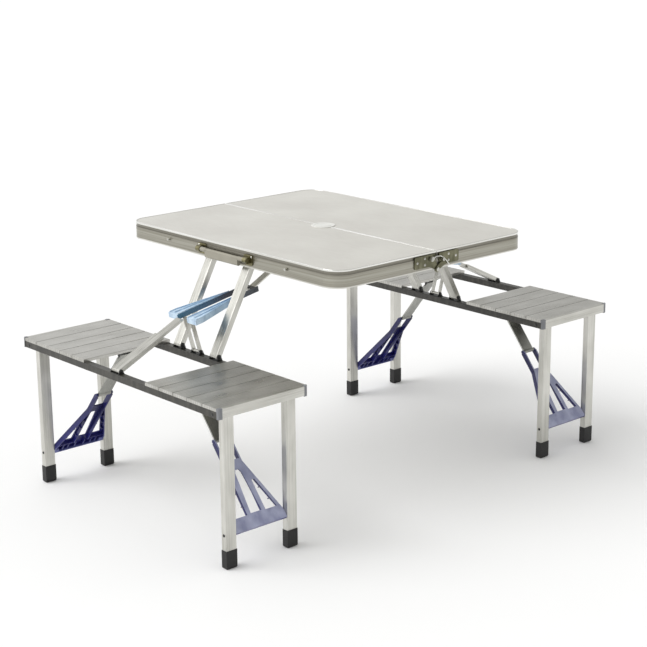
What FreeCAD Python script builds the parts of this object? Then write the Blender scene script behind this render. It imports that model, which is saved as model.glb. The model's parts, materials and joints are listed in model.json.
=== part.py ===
import FreeCAD, Part
import math
import os

os.makedirs("parts", exist_ok=True)
V = FreeCAD.Vector

# Folding picnic table: two tray-shaped table halves hinged along a seam, a
# bench on each long side, and an umbrella hole in the middle.
# X runs along the seam, Y from the handle side to the far side, Z up.
# The origin is on the floor under the middle of the table top. Millimetres.

# ---- table top -------------------------------------------------------------
TABLE_H = 671.0          # floor to the rim of the top
TABLE_L = 850.0          # length along the seam
HALF_W = 335.0           # width of one half
SEAM_GAP = 1.0           # gap between the halves
WALL_H = 46.0            # depth of a half's rim
CORNER_R = 50.0          # outer corners of a half
PANEL_T = 3.0            # top sheet
PANEL_DROP = 1.0         # sheet below the rim bead
BEAD_W = 3.0
BEAD_H = 5.0
NECK_IN = 1.6            # recessed band under the bead
NECK_H = 8.0
WALL_IN = 0.4
WALL_T = 1.8
LEDGE_IN = 11.0
LEDGE_T = 3.0
LIP_W = 4.0
LIP_H = 3.0
FIT = 0.2                # sheet in rim, plug in hole

# ---- umbrella plug ---------------------------------------------------------
PLUG_FLANGE_R = 32.0
PLUG_FLANGE_T = 2.0
PLUG_BODY_R = 22.0
PLUG_BODY_H = 13.0
PLUG_WALL = 2.5
PLUG_GROOVE_R = 22.0

# ---- seam hinges and hooks -------------------------------------------------
HINGE_DROP = 1.5         # hinge axis below the rims' lower edges
PLATE_T = 2.5
PLATE_REACH = 78.0       # from the seam along the short side
PLATE_BACK = 5.0         # front plate stops this far before the seam
PLATE_BACK_REAR = 8.5
PLATE_BOTTOM = 8.0       # above the rim's lower edge
PLATE_H = 31.0
EYE_R = 7.0
HINGE_PIN_R = 3.0
PIN_FIT = 0.05           # running clearance, on the radius
HEAD_R = 5.0
HEAD_T = 1.5
STAY_HEAD_R = 4.5
BRACE_HEAD_R = 4.0
SMALL_HEAD_R = 3.6
SMALL_HEAD_T = 1.2
DOME_FLAT = 0.02            # share of a dome's height that is a flat top
LEAF_GAP = 0.3
STUD_R = 3.0
STUD_L = 8.0
HOOK_WIRE_R = 1.5
HOOK_PIVOT = (-22.0, 28.0)    # y, height above the rim's lower edge
CATCH = (15.6, 22.2)
HOOK_BEND = [(-7.0, 33.0), (8.0, 32.0), (19.0, 26.0), (30.0, 16.0), (39.0, 5.0)]
RIVET_R = 3.5
RIVET_T = 1.4

# ---- carrying handle -------------------------------------------------------
GRIP_L = 134.0
GRIP_H = 24.0
GRIP_T = 10.0
GRIP_ROUND = 4.0
HANDLE_OUT = 10.0        # handle axis in front of the rim
HANDLE_UP = 21.0         # handle axis above the rim's lower edge
LUG_R = 6.0
LUG_L = 22.0
HANDLE_PIN_R = 3.0
HANDLE_PLATE_IN = 78.0
HANDLE_PLATE_OUT = 112.0
HANDLE_PLATE_H = 27.0
HANDLE_PLATE_T = 2.0
HANDLE_PLATE_ROUND = 5.0
BOSS_L = 15.0
BOSS_GAP = 1.0
LATCH_IN = 185.0         # case latch from the end of the rim
LATCH_R = 4.0
LATCH_L = 4.0

# ---- bench -----------------------------------------------------------------
SEAT_H = 408.0           # floor to the seat
BENCH_REACH = 691.0      # outer face of the outer rail from the seam
BENCH_W = 267.0
BENCH_L = 834.0
SEAT_L = 285.5           # one seat along the bench
SLAT_T = 8.0
SLAT_WALL = 1.5
SLAT_GAP = 1.4
SLATS = 5
SLAT_OVER = 1.0          # slats past the rails
RAIL_W = 20.0
RAIL_H = 18.0
RAIL_WALL = 1.5
CAP_L = 12.0             # corner cap, along the bench's width
CAP_ROUND = 7.0
SPIGOT_IN = 12.0         # cap's plug inside the rail
SPIGOT_OUT = 2.0
END_T = 2.5
END_FLANGE = 6.0
END_H = 24.0

# ---- legs ------------------------------------------------------------------
LEG_IN = 25.5            # leg axis from the bench's end
LEG_W = 30.0
LEG_T = 17.0
LEG_WALL = 1.5
LEG_RAIL_GAP = 4.5
LEG_TOP_GAP = 1.0        # folded leg under the slats
FOOT_H = 47.0
FOOT_FLOOR = 12.0
FOOT_WALL = 1.0
FOOT_ROUND = 5.0
ROD_R = 3.0

# ---- leg brace -------------------------------------------------------------
BRACE_PIN_H = 85.0       # brace hinge above the floor
BRACE_GAP = 0.5          # brace to leg, each side
STRUT_PIN_IN = 14.5      # upper strut pin from the seat's inner edge
BRACE_T = 14.0
BRACE_SKIN = 3.0
BRACE_RIB = 2.5
BRACE_NECK_W = 50.0
BRACE_CHEEK = 4.0
BRACE_EYE_R = 5.0         # cheeks around the strut pin
BRACE_STOP = 3.0          # full depth ends this far before the pin
BRACE_FOOT_S = 14.0      # where the sides start to close in
BRACE_NECK_S = 160.0     # where the neck starts
BRACE_SLOT_S = 168.0
BRACE_RIBS = (20.0, 52.0, 86.0, 120.0, 150.0)    # cross ribs from the hinge
BRACE_CROSS_T = 2.0
BRACE_FINS = (-52.0, -36.0, -14.0, 14.0, 36.0, 52.0)  # short fins at the foot
BRACE_HEEL = 6.0          # outline starts this far behind the hinge
BRACE_BARREL_L = 14.0
BRACE_MID = [(30.0, 16.5), (134.0, 9.0), (142.0, 5.0)]    # half of the middle window
BRACE_WIN = (28.0, 108.0)     # side windows from and to
BRACE_ROD_IN = 10.5       # the cross rod enters each barrel this far
STRUT_W = 39.0
STRUT_T = 4.0
KNUCKLE_R = 5.0
STRUT_PIN_R = 2.5
STRUT_EAR_R = 3.4
STRUT_EYE_R = 3.2
STRUT_EYE_IN = 3.0        # upper eye narrower than the bar, each side
STRUT_EYE_L = 8.0
STRUT_PLATE_T = 1.5
EAR_T = 2.0

# ---- bench swing -----------------------------------------------------------
SWING_X = 76.0
SWING_W = 28.0
SWING_T = 16.0
SWING_WALL = 1.5
SWING_TOP_IN = 33.5      # table pivot inside the rim's outer face
SWING_TOP_DROP = 17.0    # table pivot below the rim
SWING_FOOT_UP = 10.0     # bench pivot above the rail
SWING_END_R = 7.6
PIVOT_PIN_R = 3.0
EAR_GAP = 0.5

# ---- centre stay -----------------------------------------------------------
STAY_UP = 7.0            # stay pivots above the rails
STAY_TUBE_W = 31.0
STAY_TUBE_T = 12.0
STAY_TUBE_L = 214.0
STAY_TUBE_BODY = 145.0
STAY_TONGUE_W = 21.0
STAY_TONGUE_T = 8.0
STAY_TUBE_RISE = 25.5    # degrees
FORK_L = 92.0
FORK_RISE = 106.0        # degrees
FORK_STRAP = 4.0
FORK_T = 10.0
FORK_ROOT_R = 4.0
ANCHOR_BACK = 30.0       # strut anchor from the seam
ANCHOR_DROP = 11.0       # below the rim
ANCHOR_EAR_R = 3.8
ELBOW_OUT = 228.5        # elbow between strut and brace, from the anchor
ELBOW_DOWN = 121.0
BRACE_LOW_OUT = 36.0     # brace's lower end, from the inner rail's middle
BRACE_LOW_UP = 100.0     # and above the rail
CS_WIDTH_LOW = 114.0
CS_WIDTH_NECK = 46.0
CS_SLOT = 39.0
CS_NECK_S = 50.0
CS_WIDE_S = 200.0
CS_END = 8.0
CS_TOP = 8.0             # brace faces from the elbow axis
CS_BOTTOM = 5.5
CS_SKIN = 3.0
CS_HEAD = 12.0           # limbs past the elbow axis
CS_BRIDGE = (-6.0, 5.5)  # bridge between the limbs, along the brace
CS_POCKET_S = 75.0       # where the limbs turn hollow
CS_RIBS = (100.0, 130.0, 160.0, 190.0)
CS_RIB_T = 2.0
CS_STRUT_W = 22.0
CS_STRUT_T = 3.0
CS_KNUCKLE_R = 4.5
CS_PIN_R = 2.2

# ---- derived positions -----------------------------------------------------
MOUTH_Z = TABLE_H - WALL_H
HINGE_Z = MOUTH_Z - HINGE_DROP
PANEL_TOP = TABLE_H - PANEL_DROP
PANEL_BOTTOM = PANEL_TOP - PANEL_T
OUTER_Y = -(SEAM_GAP / 2 + HALF_W)
SLAT_BOTTOM = SEAT_H - SLAT_T
RAIL_TOP = SLAT_BOTTOM
RAIL_BOTTOM = RAIL_TOP - RAIL_H
OUT_RAIL = (-BENCH_REACH, -BENCH_REACH + RAIL_W)
IN_RAIL = (-BENCH_REACH + BENCH_W - RAIL_W, -BENCH_REACH + BENCH_W)
OUT_MID = sum(OUT_RAIL) / 2
IN_MID = sum(IN_RAIL) / 2
LEG_Z = SLAT_BOTTOM - LEG_TOP_GAP - LEG_T / 2
OUT_LEG = (OUT_RAIL[1] + LEG_RAIL_GAP, OUT_RAIL[1] + LEG_RAIL_GAP + LEG_W)
IN_LEG = (IN_RAIL[0] - LEG_RAIL_GAP - LEG_W, IN_RAIL[0] - LEG_RAIL_GAP)
LEG_MID = (OUT_LEG[0] + IN_LEG[1]) / 2
BRACE_W = IN_LEG[0] - OUT_LEG[1] - 2 * BRACE_GAP
SWING_TOP = (OUTER_Y + SWING_TOP_IN, TABLE_H - SWING_TOP_DROP)
SWING_FOOT = (IN_MID, RAIL_TOP + SWING_FOOT_UP)
ANCHOR = (-ANCHOR_BACK, TABLE_H - ANCHOR_DROP)
ELBOW = (ANCHOR[0] - ELBOW_OUT, ANCHOR[1] - ELBOW_DOWN)
BRACE_LOW = (IN_MID - BRACE_LOW_OUT, RAIL_TOP + BRACE_LOW_UP)
END_X = TABLE_L / 2
LATCH_X = END_X - LATCH_IN
LEG_X = BENCH_L / 2 - LEG_IN
SEAT_IN = BENCH_L / 2 - SEAT_L
STRUT_PIN_X = SEAT_IN + STRUT_PIN_IN
SLAT_PITCH = (BENCH_L / 2 - END_T - END_FLANGE - SEAT_IN) / SLATS


# ---- helpers ---------------------------------------------------------------
def box(x0, x1, y0, y1, z0, z1):
    return Part.makeBox(x1 - x0, y1 - y0, z1 - z0, V(x0, y0, z0))


def rod_x(x0, x1, y, z, r):
    return Part.makeCylinder(r, x1 - x0, V(x0, y, z), V(1, 0, 0))


def rod_y(y0, y1, x, z, r):
    return Part.makeCylinder(r, y1 - y0, V(x, y0, z), V(0, 1, 0))


def rod_z(z0, z1, x, y, r):
    return Part.makeCylinder(r, z1 - z0, V(x, y, z0), V(0, 0, 1))


def join(shapes):
    out = shapes[0]
    if len(shapes) > 1:
        out = out.fuse(shapes[1:])
    return out.removeSplitter()


def flip_x(shape):
    return shape.mirror(V(0, 0, 0), V(1, 0, 0))


def flip_y(shape):
    return shape.mirror(V(0, 0, 0), V(0, 1, 0))


def prism(points, t0, t1):
    """Solid between heights t0 and t1 over a closed outline."""
    wire = Part.makePolygon([V(a, b, t0) for a, b in points] + [V(points[0][0], points[0][1], t0)])
    return Part.Face(wire).extrude(V(0, 0, t1 - t0))


def inset(points, d):
    """The outline moved inwards by d; points run anticlockwise."""
    out = []
    n = len(points)
    for i in range(n):
        ax, ay = points[i - 1]
        bx, by = points[i]
        cx, cy = points[(i + 1) % n]
        l1 = math.hypot(bx - ax, by - ay)
        l2 = math.hypot(cx - bx, cy - by)
        n1 = (-(by - ay) / l1, (bx - ax) / l1)
        n2 = (-(cy - by) / l2, (cx - bx) / l2)
        k = d / (1 + n1[0] * n2[0] + n1[1] * n2[1])
        out.append((bx + k * (n1[0] + n2[0]), by + k * (n1[1] + n2[1])))
    return out


def place(shape, origin, along, across):
    """Moves a solid drawn with X along and Y across into the model."""
    a = V(*along).normalize()
    c = V(*across).normalize()
    n = a.cross(c)
    m = FreeCAD.Matrix(a.x, c.x, n.x, origin[0],
                       a.y, c.y, n.y, origin[1],
                       a.z, c.z, n.z, origin[2],
                       0, 0, 0, 1)
    moved = shape.copy()
    moved.Placement = FreeCAD.Placement(m).multiply(moved.Placement)
    return moved


def turned(start, axis, edges):
    """Solid turned about an axis; edges hold the (along, radius) points of its lines and arcs."""
    drawn = []
    for pts in edges:
        ends = [V(0, r, a) for a, r in pts]
        drawn.append(Part.makeLine(*ends) if len(ends) == 2 else Part.Arc(*ends).toShape())
    face = Part.Face(Part.Wire(drawn))
    solid = face.revolve(V(0, 0, 0), V(0, 0, 1), 360)
    solid.Placement = FreeCAD.Placement(V(*start), FreeCAD.Rotation(V(0, 0, 1), V(*axis)))
    return solid


def crown(r, t, at):
    """Radius at a height of a dome that is t high on a foot of radius r."""
    ball_r = (r * r + t * t) / (2 * t)
    return math.sqrt(ball_r ** 2 - (ball_r - t + at) ** 2)


def dome_edges(foot, way, r, t):
    """Half section of a dome from its foot to the small flat on its top."""
    flat = DOME_FLAT * t
    arc = [(foot + way * h, crown(r, t, h)) for h in (0, t / 2, t - flat)]
    return [tuple(arc), (arc[2], (foot + way * (t - flat), 0))]


def dome(centre, axis, r, t):
    """Rivet head: a shallow dome standing on a face."""
    edges = dome_edges(0, 1, r, t)
    return turned(centre, axis, edges + [(edges[-1][1], (0, 0)), ((0, 0), (0, r))])


def headed_pin(start, axis, length, r, head_r, head_t):
    """Pin with a domed head beyond each end of its length."""
    low = dome_edges(0, -1, head_r, head_t)
    high = dome_edges(length, 1, head_r, head_t)
    shank = [((0, head_r), (0, r)), ((0, r), (length, r)), ((length, r), (length, head_r))]
    return turned(start, axis, low[::-1] + shank + high + [(high[-1][1], low[-1][1])])


def save(name, shapes):
    """Writes one named sub-part; shapes are its separate solids."""
    if not isinstance(shapes, list):
        shapes = [shapes]
    solids = []
    for s in shapes:
        solids.extend(s.Solids)
    out = solids[0] if len(solids) == 1 else Part.makeCompound(solids)
    out.exportStep("parts/%s.step" % name)


# ---- table halves ----------------------------------------------------------
def half_outline(d):
    """Outline of the front half, moved in by d, rounded at the outer corners."""
    x = TABLE_L / 2 - d
    y0 = OUTER_Y + d
    y1 = -SEAM_GAP / 2 - d
    r = CORNER_R - d
    k = r * (1 - math.sqrt(0.5))
    edges = [
        Part.LineSegment(V(-x, y1, 0), V(-x, y0 + r, 0)).toShape(),
        Part.Arc(V(-x, y0 + r, 0), V(-x + k, y0 + k, 0), V(-x + r, y0, 0)).toShape(),
        Part.LineSegment(V(-x + r, y0, 0), V(x - r, y0, 0)).toShape(),
        Part.Arc(V(x - r, y0, 0), V(x - k, y0 + k, 0), V(x, y0 + r, 0)).toShape(),
        Part.LineSegment(V(x, y0 + r, 0), V(x, y1, 0)).toShape(),
        Part.LineSegment(V(x, y1, 0), V(-x, y1, 0)).toShape(),
    ]
    return Part.Face(Part.Wire(edges))


def slab(d, z0, z1):
    face = half_outline(d)
    face.translate(V(0, 0, z0))
    return face.extrude(V(0, 0, z1 - z0))


def ring(d0, d1, z0, z1):
    return slab(d0, z0, z1).cut(slab(d1, z0 - 1, z1 + 1))


def plug_hole():
    flange = rod_z(PANEL_TOP, TABLE_H + 5, 0, 0, PLUG_FLANGE_R + FIT)
    body = rod_z(MOUTH_Z - 5, TABLE_H + 5, 0, 0, PLUG_BODY_R + FIT)
    return flange.fuse(body)


def edge_frame():
    neck_z = TABLE_H - BEAD_H
    wall_z = neck_z - NECK_H
    bead = ring(0, BEAD_W, neck_z, TABLE_H)
    bead = bead.makeFillet(1.2, [e for e in bead.Edges
                                 if e.BoundBox.ZMin > TABLE_H - 0.01])
    parts = [
        bead,
        ring(NECK_IN, BEAD_W, wall_z, neck_z),
        ring(NECK_IN, LEDGE_IN, PANEL_BOTTOM - LEDGE_T, PANEL_BOTTOM),
        ring(WALL_IN, WALL_IN + WALL_T, MOUTH_Z + LIP_H, wall_z),
        ring(0, LIP_W, MOUTH_Z, MOUTH_Z + LIP_H),
    ]
    return join(parts).cut(plug_hole())


def top_panel():
    return slab(BEAD_W + FIT, PANEL_BOTTOM, PANEL_TOP).cut(plug_hole())


def plug_half():
    flange = rod_z(PANEL_TOP, PANEL_TOP + PLUG_FLANGE_T, 0, 0, PLUG_FLANGE_R)
    flange = flange.makeFillet(0.8, [e for e in flange.Edges
                                     if e.BoundBox.ZMin > PANEL_TOP + PLUG_FLANGE_T - 0.01])
    body = rod_z(PANEL_TOP - PLUG_BODY_H, PANEL_TOP, 0, 0, PLUG_BODY_R)
    hollow = rod_z(PANEL_TOP - PLUG_BODY_H - 1, PANEL_TOP - PLUG_WALL, 0, 0,
                   PLUG_BODY_R - PLUG_WALL)
    groove = rod_z(PANEL_TOP + PLUG_FLANGE_T - 0.6, PANEL_TOP + 5, 0, 0, PLUG_GROOVE_R + 1)
    groove = groove.cut(rod_z(PANEL_TOP, PANEL_TOP + 5, 0, 0, PLUG_GROOVE_R - 1))
    whole = flange.fuse(body).cut(hollow).cut(groove)
    big = 2 * PLUG_FLANGE_R
    keep = box(-big, big, -big, -SEAM_GAP / 2, 0, TABLE_H + 50)
    return whole.common(keep).removeSplitter()


# ---- seam hinges and hooks -------------------------------------------------
def at_end(y, up):
    return y, MOUTH_Z + up


def front_plate():
    x0 = END_X
    x1 = END_X + PLATE_T
    z0 = MOUTH_Z + PLATE_BOTTOM
    z1 = z0 + PLATE_H
    sheet = box(x0, x1, -PLATE_REACH, -PLATE_BACK, z0, z1)
    sheet = sheet.makeFillet(5.0, [e for e in sheet.Edges
                                   if abs(e.BoundBox.YMin + PLATE_REACH) < 0.01
                                   and e.BoundBox.XLength > 1.0
                                   and e.BoundBox.YLength < 0.01 and e.BoundBox.ZLength < 0.01])
    arm = prism([(-30.0, z0 + 4), (-EYE_R, HINGE_Z), (EYE_R, HINGE_Z), (EYE_R - 1, HINGE_Z + 5),
                 (-PLATE_BACK, z0 + 12)], 0, PLATE_T)
    arm = place(arm, (x0, 0, 0), (0, 1, 0), (0, 0, 1))
    eye = rod_x(x0, x1, 0, HINGE_Z, EYE_R)
    return join([sheet, arm, eye]).cut(rod_x(x0 - 1, x1 + 1, 0, HINGE_Z, HINGE_PIN_R))


def rear_plate():
    x0 = END_X
    x1 = END_X + PLATE_T
    x2 = x1 + LEAF_GAP
    x3 = x2 + PLATE_T
    z0 = MOUTH_Z + PLATE_BOTTOM
    z1 = z0 + PLATE_H
    sheet = box(x0, x1, PLATE_BACK_REAR, PLATE_REACH, z0, z1)
    sheet = sheet.makeFillet(5.0, [e for e in sheet.Edges
                                   if abs(e.BoundBox.YMax - PLATE_REACH) < 0.01
                                   and e.BoundBox.XLength > 1.0
                                   and e.BoundBox.YLength < 0.01 and e.BoundBox.ZLength < 0.01])
    step = box(x0, x3, PLATE_BACK_REAR + 3, 30.0, z0, z0 + 8)
    arm = prism([(-EYE_R, HINGE_Z), (EYE_R, HINGE_Z), (30.0, z0 + 1), (30.0, z0 + 8),
                 (PLATE_BACK_REAR + 3, z0 + 8), (-EYE_R + 2, HINGE_Z + 5)], 0, PLATE_T)
    arm = place(arm, (x2, 0, 0), (0, 1, 0), (0, 0, 1))
    eye = rod_x(x2, x3, 0, HINGE_Z, EYE_R)
    hole = rod_x(x0 - 1, x3 + 1, 0, HINGE_Z, HINGE_PIN_R + PIN_FIT)
    return join([sheet, step, arm, eye]).cut(hole)


def hinge_pin():
    x3 = END_X + 2 * PLATE_T + LEAF_GAP + LEAF_GAP
    shank = rod_x(END_X, x3 + HEAD_T, 0, HINGE_Z, HINGE_PIN_R)
    head = rod_x(x3, x3 + HEAD_T, 0, HINGE_Z, HEAD_R)
    return join([shank, head])


HOOK_X = END_X + 2 * PLATE_T + 2 * LEAF_GAP + HOOK_WIRE_R + 0.5


def pivot_stud():
    y, z = at_end(*HOOK_PIVOT)
    x0 = END_X + PLATE_T
    x1 = HOOK_X + HOOK_WIRE_R + 0.3
    shank = rod_x(x0, x1 + HEAD_T, y, z, STUD_R)
    collar = rod_x(x0, HOOK_X - HOOK_WIRE_R - 0.3, y, z, STUD_R + 1.5)
    head = rod_x(x1, x1 + HEAD_T, y, z, STUD_R + 2)
    return join([shank, collar, head])


def catch_stud():
    y, z = at_end(*CATCH)
    x0 = END_X + PLATE_T
    shank = rod_x(x0, x0 + STUD_L + HEAD_T, y, z, STUD_R)
    head = rod_x(x0 + STUD_L, x0 + STUD_L + HEAD_T, y, z, STUD_R + 0.9)
    return join([shank, head])


def lock_hook():
    """Bent wire hook with an eye round its pivot stud."""
    y, z = at_end(*HOOK_PIVOT)
    eye_r = STUD_R + PIN_FIT
    eye = rod_x(HOOK_X - HOOK_WIRE_R, HOOK_X + HOOK_WIRE_R, y, z, eye_r + 2 * HOOK_WIRE_R)
    pts = [V(HOOK_X, y + eye_r + HOOK_WIRE_R, z + 1)]
    pts += [V(HOOK_X, *at_end(*p)) for p in HOOK_BEND]
    parts = [eye]
    for a, b in zip(pts[:-1], pts[1:]):
        parts.append(Part.makeCylinder(HOOK_WIRE_R, (b - a).Length, a, b - a))
        parts.append(Part.makeSphere(HOOK_WIRE_R, b))
    hook = parts[0].fuse(parts[1:])
    hole = rod_x(HOOK_X - 5, HOOK_X + 5, y, z, eye_r)
    return hook.cut(hole)


def plate_rivets(y_sign):
    x = END_X + PLATE_T
    z = MOUTH_Z + PLATE_BOTTOM + PLATE_H / 2
    spots = [(PLATE_REACH - 10, z), (PLATE_REACH - 36, z + 8), (PLATE_REACH - 36, z - 8)]
    return [dome((x, y_sign * y, zz), (1, 0, 0), RIVET_R, RIVET_T) for y, zz in spots]


# ---- carrying handle -------------------------------------------------------
HANDLE_Y = OUTER_Y - HANDLE_OUT
HANDLE_Z = MOUTH_Z + HANDLE_UP
WALL_FACE_Y = OUTER_Y


def carry_handle():
    top = HANDLE_Z + LUG_R - 1
    grip = box(-GRIP_L / 2, GRIP_L / 2, HANDLE_Y - GRIP_T / 2, HANDLE_Y + GRIP_T / 2,
               top - GRIP_H, top)
    grip = grip.makeFillet(GRIP_ROUND, [e for e in grip.Edges if e.BoundBox.XLength > GRIP_L / 2])
    ends = []
    for s in (-1, 1):
        x0 = GRIP_L / 2 - 2
        x1 = x0 + LUG_L
        lug = rod_x(x0, x1, HANDLE_Y, HANDLE_Z, LUG_R)
        ends.append(lug if s > 0 else flip_x(lug))
    body = join([grip] + ends)
    for s in (-1, 1):
        hole = rod_x(GRIP_L / 2 + 2, GRIP_L / 2 + LUG_L + 2, HANDLE_Y, HANDLE_Z,
                     HANDLE_PIN_R + PIN_FIT)
        body = body.cut(hole if s > 0 else flip_x(hole))
    return body


def handle_bracket():
    z0 = HANDLE_Z - 14
    plate = box(HANDLE_PLATE_IN, HANDLE_PLATE_OUT, WALL_FACE_Y - HANDLE_PLATE_T, WALL_FACE_Y,
                z0, z0 + HANDLE_PLATE_H)
    plate = plate.makeFillet(HANDLE_PLATE_ROUND, [e for e in plate.Edges if e.BoundBox.YLength > 1.0
                                   and e.BoundBox.XLength < 0.01 and e.BoundBox.ZLength < 0.01])
    x0 = GRIP_L / 2 - 2 + LUG_L + BOSS_GAP
    boss_r = LUG_R + 2
    boss = rod_x(x0, x0 + BOSS_L, HANDLE_Y, HANDLE_Z, boss_r)
    block = box(x0, x0 + BOSS_L, HANDLE_Y, WALL_FACE_Y - HANDLE_PLATE_T / 2,
                HANDLE_Z - boss_r, HANDLE_Z + boss_r)
    pin = rod_x(x0 - LUG_L + 6, x0 + 1, HANDLE_Y, HANDLE_Z, HANDLE_PIN_R)
    return join([plate, boss, block, pin])


def front_wall_rivets():
    out = []
    for s in (-1, 1):
        x = s * (HANDLE_PLATE_OUT - HANDLE_PLATE_ROUND)
        out.append(dome((x, WALL_FACE_Y - HANDLE_PLATE_T, HANDLE_Z - 14 + HANDLE_PLATE_H - 5),
                        (0, -1, 0), RIVET_R - 0.5, RIVET_T))
        y1 = OUTER_Y + WALL_IN
        post = rod_y(y1 - LATCH_L, y1, s * LATCH_X, HANDLE_Z, LATCH_R - 1.2)
        cap = rod_y(y1 - LATCH_L - 1.2, y1 - LATCH_L, s * LATCH_X, HANDLE_Z, LATCH_R)
        out.append(join([post, cap]))
    return out


# ---- pivots under the table ------------------------------------------------
def hanging_bracket(x, y, z, half_gap, reach):
    """Stamped U with two ears and a flat back against the table sheet."""
    base_t = EAR_T
    w = half_gap + EAR_T
    back = box(x - w, x + w, y - reach, y + reach, PANEL_BOTTOM - base_t, PANEL_BOTTOM)
    parts = [back]
    for s in (-1, 1):
        x0 = x + s * half_gap
        lo = min(x0, x0 + s * EAR_T)
        parts.append(box(lo, lo + EAR_T, y - reach, y + reach, z, PANEL_BOTTOM))
        parts.append(rod_x(lo, lo + EAR_T, y, z, reach))
    return join(parts)


def table_brackets():
    out = []
    for s in (-1, 1):
        y, z = SWING_TOP
        b = hanging_bracket(s * SWING_X, y, z, SWING_W / 2 + EAR_GAP, 8.0)
        w = SWING_W / 2 + EAR_GAP + EAR_T + 1
        out.append(b.cut(rod_x(s * SWING_X - w, s * SWING_X + w, y, z, PIVOT_PIN_R)))
    y, z = ANCHOR
    a = hanging_bracket(0, y, z, CS_STRUT_W / 2 + EAR_GAP, ANCHOR_EAR_R)
    w = CS_STRUT_W / 2 + EAR_GAP + EAR_T + 1
    out.append(a.cut(rod_x(-w, w, y, z, CS_PIN_R)))
    return out


def table_pins():
    out = []
    for s in (-1, 1):
        y, z = SWING_TOP
        w = SWING_W / 2 + EAR_GAP + EAR_T
        out.append(headed_pin((s * SWING_X - w, y, z), (1, 0, 0), 2 * w, PIVOT_PIN_R, HEAD_R, HEAD_T))
    y, z = ANCHOR
    w = CS_STRUT_W / 2 + EAR_GAP + EAR_T
    out.append(headed_pin((-w, y, z), (1, 0, 0), 2 * w, CS_PIN_R, SMALL_HEAD_R, SMALL_HEAD_T))
    return out


# ---- bench frame -----------------------------------------------------------
RAIL_END = BENCH_L / 2 - 7.0
CLEVIS_W = SWING_W / 2 + EAR_GAP
STAY_W = STAY_TUBE_W / 2 + EAR_GAP


def bench_rails():
    out = []
    for y0, y1 in (OUT_RAIL, IN_RAIL):
        tube = box(-RAIL_END, RAIL_END, y0, y1, RAIL_BOTTOM, RAIL_TOP)
        tube = tube.makeFillet(1.5, [e for e in tube.Edges if e.BoundBox.XLength > RAIL_END])
        bore = box(-RAIL_END - 1, RAIL_END + 1, y0 + RAIL_WALL, y1 - RAIL_WALL,
                   RAIL_BOTTOM + RAIL_WALL, RAIL_TOP - RAIL_WALL)
        tube = tube.cut(bore)
        for s in (-1, 1):
            tube = tube.cut(rod_y(y0 - 1, y1 + 1, s * LEG_X, LEG_Z, ROD_R))
        out.append(tube)
    return out


def seat_slats():
    out = []
    y0 = OUT_RAIL[0] - SLAT_OVER
    y1 = IN_RAIL[1] + SLAT_OVER
    for s in (-1, 1):
        for i in range(SLATS):
            a = SEAT_IN + i * SLAT_PITCH + (SLAT_GAP / 2 if i else 0)
            b = SEAT_IN + (i + 1) * SLAT_PITCH - (SLAT_GAP / 2 if i < SLATS - 1 else FIT)
            plank = box(a, b, y0, y1, SLAT_BOTTOM, SEAT_H)
            plank = plank.makeFillet(1.2, [e for e in plank.Edges
                                           if e.BoundBox.ZMin > SEAT_H - 0.01
                                           and e.BoundBox.YLength > 10.0])
            mid = (a + b) / 2
            for c, d in ((a + SLAT_WALL, mid - SLAT_WALL / 2), (mid + SLAT_WALL / 2, b - SLAT_WALL)):
                plank = plank.cut(box(c, d, y0 + SLAT_WALL, y1 - SLAT_WALL, SLAT_BOTTOM - 1,
                                      SEAT_H - SLAT_WALL))
            out.append(plank if s > 0 else flip_x(plank))
    return out


CAP_Y = ((OUT_RAIL[0] - SLAT_OVER - 1, OUT_RAIL[0] - SLAT_OVER - 1 + CAP_L),
         (IN_RAIL[1] + SLAT_OVER + 1 - CAP_L, IN_RAIL[1] + SLAT_OVER + 1))


def seat_ends():
    out = []
    x1 = BENCH_L / 2
    y0 = CAP_Y[0][1]
    y1 = CAP_Y[1][0]
    for s in (-1, 1):
        web = box(x1 - END_T, x1, y0, y1, SEAT_H - END_H, SEAT_H)
        flange = box(x1 - END_T - END_FLANGE, x1, y0, y1, SEAT_H - END_T, SEAT_H)
        prof = join([web, flange])
        prof = prof.makeFillet(1.2, [e for e in prof.Edges
                                     if e.BoundBox.ZMin > SEAT_H - 0.01
                                     and e.BoundBox.XMin > x1 - 0.01
                                     and e.BoundBox.YLength > 10.0])
        foot = box(x1 - END_T - END_FLANGE + 1.5, x1, y0, y1, SEAT_H - END_H, SEAT_H - END_H + 1.5)
        foot = foot.cut(box(0, RAIL_END + SPIGOT_OUT + FIT, y0 - 1, y1 + 1, 0, SEAT_H))
        prof = join([prof, foot])
        out.append(prof if s > 0 else flip_x(prof))
    return out


def corner_caps():
    """Plastic caps that close the rail ends and round the seat corners."""
    out = []
    x1 = BENCH_L / 2
    x0 = x1 - END_T - END_FLANGE
    for n, (y0, y1) in enumerate(CAP_Y):
        cap = box(x0, x1, y0, y1, SEAT_H - END_H - 2, SEAT_H + 0.6)
        y_out = y0 if n == 0 else y1
        cap = cap.makeFillet(CAP_ROUND, [e for e in cap.Edges
                                         if abs(e.BoundBox.YMin - y_out) < 0.01
                                         and e.BoundBox.YLength < 0.01
                                         and e.BoundBox.XMin > x1 - 0.01
                                         and e.BoundBox.ZLength > 5.0])
        ry0, ry1 = (OUT_RAIL, IN_RAIL)[n]
        rail_space = box(x0 - 1, RAIL_END, y0 - 1, y1 + 1, RAIL_BOTTOM - 5, RAIL_TOP)
        spigot = box(RAIL_END - SPIGOT_IN, RAIL_END + SPIGOT_OUT, ry0 + RAIL_WALL, ry1 - RAIL_WALL,
                     RAIL_BOTTOM + RAIL_WALL, RAIL_TOP - RAIL_WALL)
        cap = join([cap.cut(rail_space), spigot])
        for s in (-1, 1):
            out.append(cap if s > 0 else flip_x(cap))
    return out


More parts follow.
